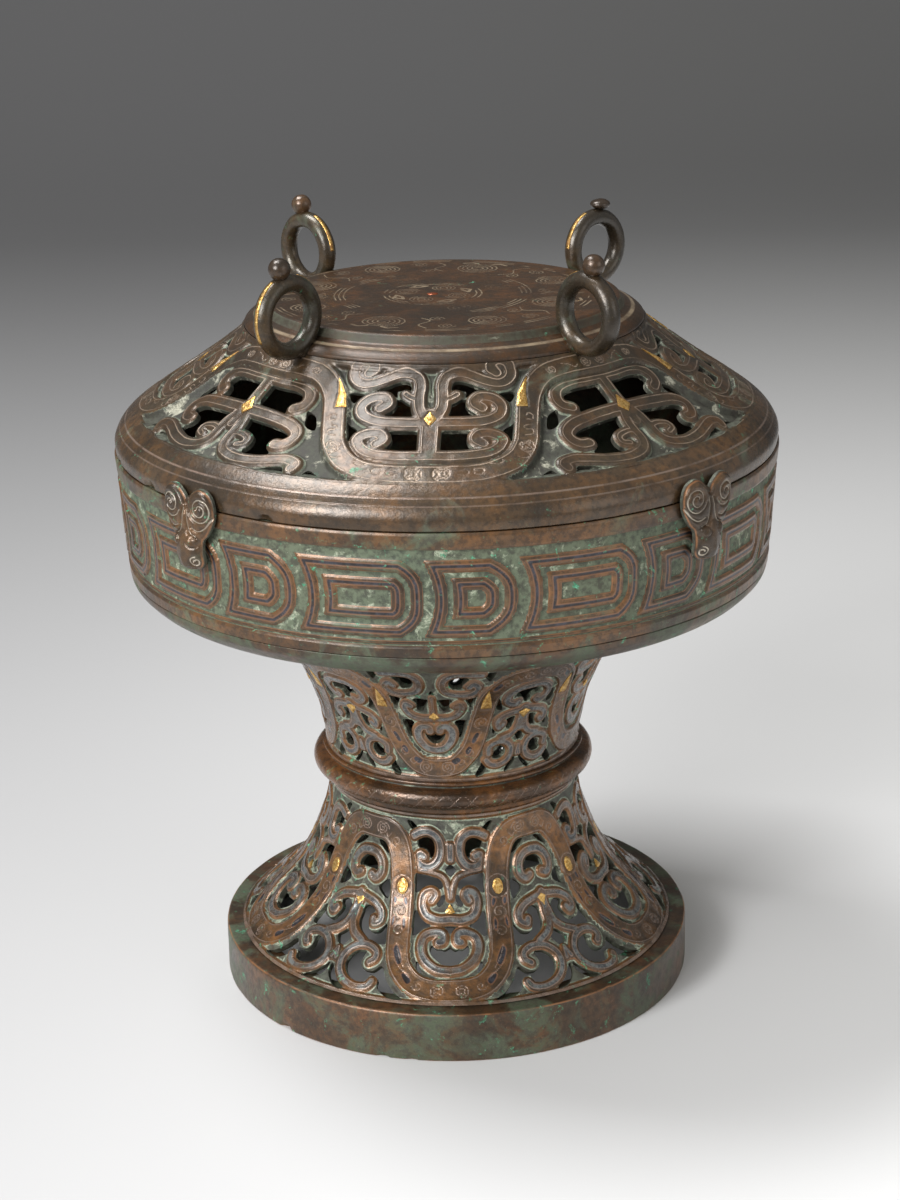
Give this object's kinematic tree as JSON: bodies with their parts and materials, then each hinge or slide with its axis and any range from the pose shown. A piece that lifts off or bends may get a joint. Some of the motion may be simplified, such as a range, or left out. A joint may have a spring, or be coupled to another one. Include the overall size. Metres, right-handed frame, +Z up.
{
  "type": "lidded ritual vessel",
  "caption": "Bronze ritual vessel: a shallow bowl with a lid on a tall pierced foot, with openwork scrolls, ring handles, mask clasps and gold inlay.",
  "frame": {"origin": "centre of the foot ring's standing face", "axes": "+Z up along the vessel's axis, -Y towards the front, where a panel of the lid faces the viewer between two clasps"},
  "size_m": [0.25, 0.25, 0.2979],
  "materials": {
    "brown_bronze": "worn brown patina, satin",
    "green_bronze": "dark green patina, dull",
    "dark_bronze": "dark brown patina, satin",
    "gold": "polished gold"
  },
  "bodies": {
    "vessel": {"foot_ring": "green_bronze", "pedestal_skirt": "brown_bronze", "pedestal_collar": "brown_bronze", "pedestal_neck": "brown_bronze", "bowl": "green_bronze", "skirt_gold_oval_1": "gold", "skirt_gold_oval_2": "gold", "skirt_gold_oval_3": "gold", "skirt_gold_oval_4": "gold", "skirt_gold_oval_5": "gold", "skirt_gold_oval_6": "gold", "skirt_gold_oval_7": "gold", "skirt_gold_oval_8": "gold", "skirt_gold_oval_9": "gold", "skirt_gold_oval_10": "gold", "skirt_gold_leaf_1": "gold", "skirt_gold_leaf_2": "gold", "skirt_gold_leaf_3": "gold", "skirt_gold_leaf_4": "gold", "skirt_gold_leaf_5": "gold", "neck_gold_drop_1": "gold", "neck_gold_drop_2": "gold", "neck_gold_drop_3": "gold", "neck_gold_drop_4": "gold", "neck_gold_drop_5": "gold", "neck_gold_drop_6": "gold", "neck_gold_drop_7": "gold", "neck_gold_drop_8": "gold", "neck_gold_drop_9": "gold", "neck_gold_drop_10": "gold"},
    "lid": {"lid_rim": "brown_bronze", "lid_openwork": "brown_bronze", "lid_roundel": "dark_bronze", "ring_handle_1": "dark_bronze", "ring_handle_2": "dark_bronze", "ring_handle_3": "dark_bronze", "ring_handle_4": "dark_bronze", "mask_clasp_1": "brown_bronze", "mask_clasp_2": "brown_bronze", "mask_clasp_3": "brown_bronze", "mask_clasp_4": "brown_bronze", "lid_gold_leaf_1": "gold", "lid_gold_leaf_2": "gold", "lid_gold_leaf_3": "gold", "lid_gold_leaf_4": "gold", "lid_gold_leaf_5": "gold", "lid_gold_leaf_6": "gold", "lid_gold_leaf_7": "gold", "lid_gold_leaf_8": "gold", "lid_gold_lozenge_1": "gold", "lid_gold_lozenge_2": "gold", "lid_gold_lozenge_3": "gold", "lid_gold_lozenge_4": "gold", "lid_gold_lozenge_5": "gold", "lid_gold_lozenge_6": "gold", "lid_gold_lozenge_7": "gold", "lid_gold_lozenge_8": "gold"}
  },
  "joints": [
    {"name": "lid_lift", "type": "slide", "parent": "vessel", "child": "lid", "axis": [0, 0, 1], "range_m": [0, 0.12]}
  ]
}
